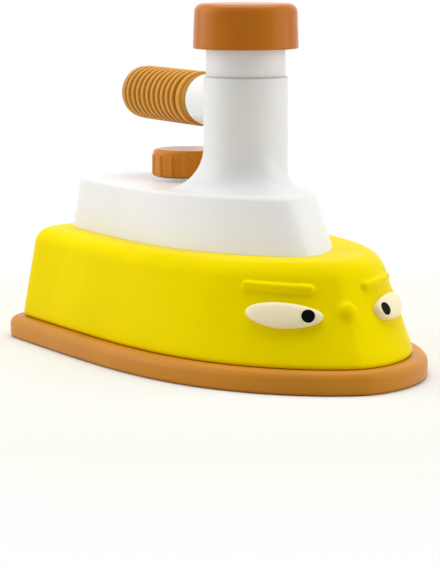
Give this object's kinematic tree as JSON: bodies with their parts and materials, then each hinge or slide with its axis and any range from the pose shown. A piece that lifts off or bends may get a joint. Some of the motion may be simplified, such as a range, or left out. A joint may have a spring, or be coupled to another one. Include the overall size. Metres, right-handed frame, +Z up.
{
  "type": "toy iron",
  "caption": "Toy iron with a flat sole, a hollow body with a face on its nose, a column with a sprung push button, a click dial and a ribbed handle.",
  "frame": {"origin": "centre of the sole's footprint, on the surface it stands on", "axes": "+X towards the nose, +Y to the iron's left, +Z up"},
  "size_m": [0.188, 0.104, 0.1183],
  "materials": {
    "yellow_plastic": "moulded, semi-gloss",
    "white_plastic": "moulded, semi-gloss",
    "cream_plastic": "moulded, semi-gloss",
    "black_plastic": "moulded, semi-gloss",
    "tan_plastic": "moulded, satin",
    "caramel_plastic": "moulded, semi-gloss",
    "screw_steel": "zinc plated"
  },
  "bodies": {
    "iron": {"sole_plate": "tan_plastic", "sole_screws": "screw_steel", "body_shell": "yellow_plastic", "eye_right": "cream_plastic", "eye_left": "cream_plastic", "pupil_right": "black_plastic", "pupil_left": "black_plastic", "deck_housing": "white_plastic", "deck_screws": "screw_steel", "guide_sleeve": "white_plastic", "button_spring": "screw_steel", "handle_core": "white_plastic", "handle_grip": "tan_plastic", "handle_screw": "screw_steel", "grip_end_plug": "tan_plastic", "click_spring": "screw_steel"},
    "button": {"button_cap": "caramel_plastic", "button_washer": "screw_steel", "button_screw": "screw_steel"},
    "dial": {"dial_knob": "caramel_plastic", "click_wheel": "white_plastic", "dial_washer": "screw_steel", "dial_screw": "screw_steel"}
  },
  "joints": [
    {"name": "button_press", "type": "slide", "parent": "iron", "child": "button", "axis": [0, 0, -1], "range_m": [0, 0.007], "stiffness_N_per_m": 300, "springref_m": -0.004, "deforming": ["button_spring"]},
    {"name": "dial_turn", "type": "hinge", "parent": "iron", "child": "dial", "pos_m": [-0.036, 0, 0.0583], "axis": [0, 0, 1], "continuous": true}
  ]
}
